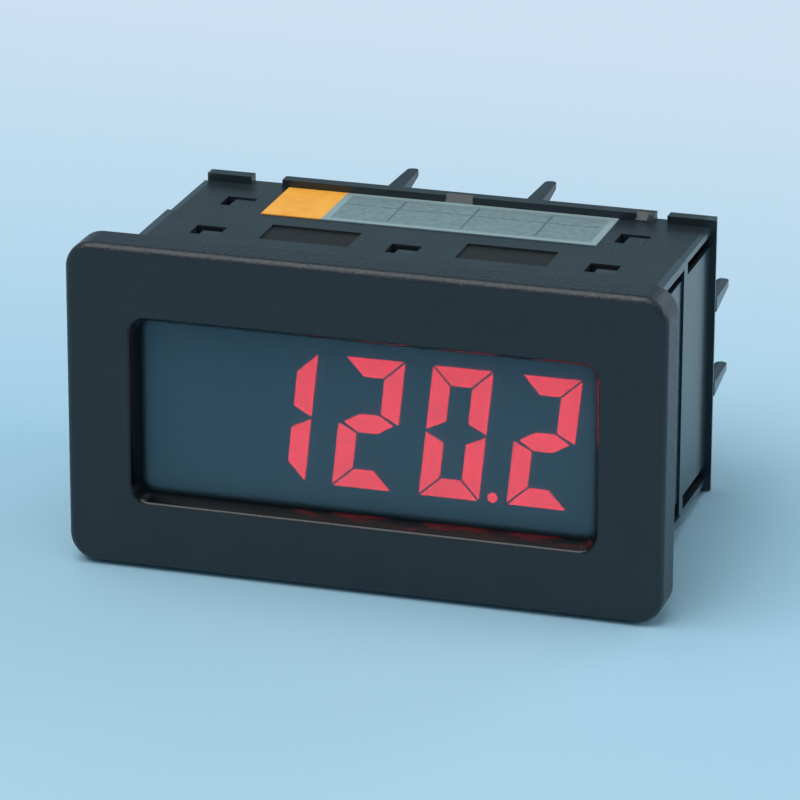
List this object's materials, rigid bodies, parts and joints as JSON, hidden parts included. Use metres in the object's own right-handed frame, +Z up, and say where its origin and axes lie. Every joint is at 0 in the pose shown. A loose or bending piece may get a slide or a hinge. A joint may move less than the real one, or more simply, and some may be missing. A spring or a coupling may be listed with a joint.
{
  "type": "digital panel meter",
  "caption": "Panel meter with a red lit digital display in a snap-together black case, with screw terminals, slide switches and trimmers at the rear.",
  "frame": {"origin": "centre of the panel cut-out, in the plane of the panel's front surface, on which the bezel's rear face seats", "axes": "+Y goes back through the panel, away from the bezel; +X is to the right seen from the front; +Z is up"},
  "size_m": [0.075, 0.0492, 0.041],
  "materials": {
    "black_moulding": "fine textured black moulded plastic",
    "lens": "dark tinted clear plastic with a satin front",
    "frame_moulding": "smooth black moulded plastic",
    "polariser": "grey film",
    "display_glass": "thin clear glass",
    "lit_red": "red segments lit from behind",
    "seal": "dark sealing line",
    "light_guide": "milky clear plastic",
    "lamp": "small moulded lamps",
    "contact_rubber": "striped contact rubber",
    "board": "green solder-masked board",
    "chip": "black epoxy with tinned leads",
    "header": "black header with gold pins",
    "capacitor": "sleeved can",
    "can_metal": "drawn metal can",
    "zinc_screw": "zinc-plated steel",
    "silver_label": "silver-grey label film",
    "orange_label": "orange printed label film",
    "terminal_moulding": "dark green moulded plastic",
    "tinned_contact": "tinned brass strip",
    "switch_moulding": "red moulded plastic",
    "trimmer_moulding": "blue moulded plastic",
    "rotor": "cream moulded rotor",
    "plated_clamp": "nickel-plated steel",
    "slider": "white moulded slider"
  },
  "bodies": {
    "housing": {"front_case": "black_moulding", "window_lens": "lens", "display_frame": "frame_moulding", "front_polariser": "polariser", "front_glass": "display_glass", "lit_segments": "lit_red", "display_seal": "seal", "rear_glass": "display_glass", "rear_polariser": "polariser", "light_guide": "light_guide", "backlight_leds": "lamp", "contact_strips": "contact_rubber", "display_board": "board", "converter_chip": "chip", "board_header": "header", "main_board": "board", "reference_chip": "chip", "capacitors": "capacitor", "chip_resistors": "chip", "crystal": "can_metal", "board_screws": "zinc_screw", "rear_cover": "black_moulding", "silver_label": "silver_label", "orange_label_field": "orange_label", "terminal_block": "terminal_moulding", "terminal_contacts": "tinned_contact", "switch_body": "switch_moulding", "zero_trimmer_body": "trimmer_moulding", "span_trimmer_body": "trimmer_moulding"},
    "zero_trimmer_rotor": {"zero_trimmer_rotor": "rotor"},
    "span_trimmer_rotor": {"span_trimmer_rotor": "rotor"},
    "terminal_screw_1": {"terminal_screw_1": "zinc_screw"},
    "wire_clamp_1": {"wire_clamp_1": "plated_clamp"},
    "terminal_screw_2": {"terminal_screw_2": "zinc_screw"},
    "wire_clamp_2": {"wire_clamp_2": "plated_clamp"},
    "terminal_screw_3": {"terminal_screw_3": "zinc_screw"},
    "wire_clamp_3": {"wire_clamp_3": "plated_clamp"},
    "terminal_screw_4": {"terminal_screw_4": "zinc_screw"},
    "wire_clamp_4": {"wire_clamp_4": "plated_clamp"},
    "terminal_screw_5": {"terminal_screw_5": "zinc_screw"},
    "wire_clamp_5": {"wire_clamp_5": "plated_clamp"},
    "terminal_screw_6": {"terminal_screw_6": "zinc_screw"},
    "wire_clamp_6": {"wire_clamp_6": "plated_clamp"},
    "switch_slider_1": {"switch_slider_1": "slider"},
    "switch_slider_2": {"switch_slider_2": "slider"},
    "switch_slider_3": {"switch_slider_3": "slider"},
    "switch_slider_4": {"switch_slider_4": "slider"}
  },
  "joints": [
    {"name": "terminal_screw_1_turn", "type": "hinge", "parent": "housing", "child": "terminal_screw_1", "pos_m": [-0.0127, 0.0359, -0.0093], "axis": [0, -1, 0], "range_deg": [0, 1440]},
    {"name": "wire_clamp_1_rise", "type": "slide", "parent": "housing", "child": "wire_clamp_1", "axis": [0, 1, 0], "range_m": [0, 0.0018]},
    {"name": "terminal_screw_2_turn", "type": "hinge", "parent": "housing", "child": "terminal_screw_2", "pos_m": [-0.00762, 0.0359, -0.0093], "axis": [0, -1, 0], "range_deg": [0, 1440]},
    {"name": "wire_clamp_2_rise", "type": "slide", "parent": "housing", "child": "wire_clamp_2", "axis": [0, 1, 0], "range_m": [0, 0.0018]},
    {"name": "terminal_screw_3_turn", "type": "hinge", "parent": "housing", "child": "terminal_screw_3", "pos_m": [-0.00254, 0.0359, -0.0093], "axis": [0, -1, 0], "range_deg": [0, 1440]},
    {"name": "wire_clamp_3_rise", "type": "slide", "parent": "housing", "child": "wire_clamp_3", "axis": [0, 1, 0], "range_m": [0, 0.0018]},
    {"name": "terminal_screw_4_turn", "type": "hinge", "parent": "housing", "child": "terminal_screw_4", "pos_m": [0.00254, 0.0359, -0.0093], "axis": [0, -1, 0], "range_deg": [0, 1440]},
    {"name": "wire_clamp_4_rise", "type": "slide", "parent": "housing", "child": "wire_clamp_4", "axis": [0, 1, 0], "range_m": [0, 0.0018]},
    {"name": "terminal_screw_5_turn", "type": "hinge", "parent": "housing", "child": "terminal_screw_5", "pos_m": [0.00762, 0.0359, -0.0093], "axis": [0, -1, 0], "range_deg": [0, 1440]},
    {"name": "wire_clamp_5_rise", "type": "slide", "parent": "housing", "child": "wire_clamp_5", "axis": [0, 1, 0], "range_m": [0, 0.0018]},
    {"name": "terminal_screw_6_turn", "type": "hinge", "parent": "housing", "child": "terminal_screw_6", "pos_m": [0.0127, 0.0359, -0.0093], "axis": [0, -1, 0], "range_deg": [0, 1440]},
    {"name": "wire_clamp_6_rise", "type": "slide", "parent": "housing", "child": "wire_clamp_6", "axis": [0, 1, 0], "range_m": [0, 0.0018]},
    {"name": "switch_slider_1_travel", "type": "slide", "parent": "housing", "child": "switch_slider_1", "axis": [0, 0, 1], "range_m": [0, 0.0016]},
    {"name": "switch_slider_2_travel", "type": "slide", "parent": "housing", "child": "switch_slider_2", "axis": [0, 0, 1], "range_m": [0, 0.0016]},
    {"name": "switch_slider_3_travel", "type": "slide", "parent": "housing", "child": "switch_slider_3", "axis": [0, 0, 1], "range_m": [0, 0.0016]},
    {"name": "switch_slider_4_travel", "type": "slide", "parent": "housing", "child": "switch_slider_4", "axis": [0, 0, 1], "range_m": [0, 0.0016]},
    {"name": "zero_trimmer_turn", "type": "hinge", "parent": "housing", "child": "zero_trimmer_rotor", "pos_m": [0.0062, 0.0342, 0.0063], "axis": [0, -1, 0], "range_deg": [-135, 135]},
    {"name": "span_trimmer_turn", "type": "hinge", "parent": "housing", "child": "span_trimmer_rotor", "pos_m": [0.0154, 0.0342, 0.0063], "axis": [0, -1, 0], "range_deg": [-135, 135]}
  ],
  "couplings": [
    {"joint": "terminal_screw_1_turn", "follows": "wire_clamp_1_rise", "rad_per_m": 13963},
    {"joint": "terminal_screw_2_turn", "follows": "wire_clamp_2_rise", "rad_per_m": 13963},
    {"joint": "terminal_screw_3_turn", "follows": "wire_clamp_3_rise", "rad_per_m": 13963},
    {"joint": "terminal_screw_4_turn", "follows": "wire_clamp_4_rise", "rad_per_m": 13963},
    {"joint": "terminal_screw_5_turn", "follows": "wire_clamp_5_rise", "rad_per_m": 13963},
    {"joint": "terminal_screw_6_turn", "follows": "wire_clamp_6_rise", "rad_per_m": 13963}
  ]
}
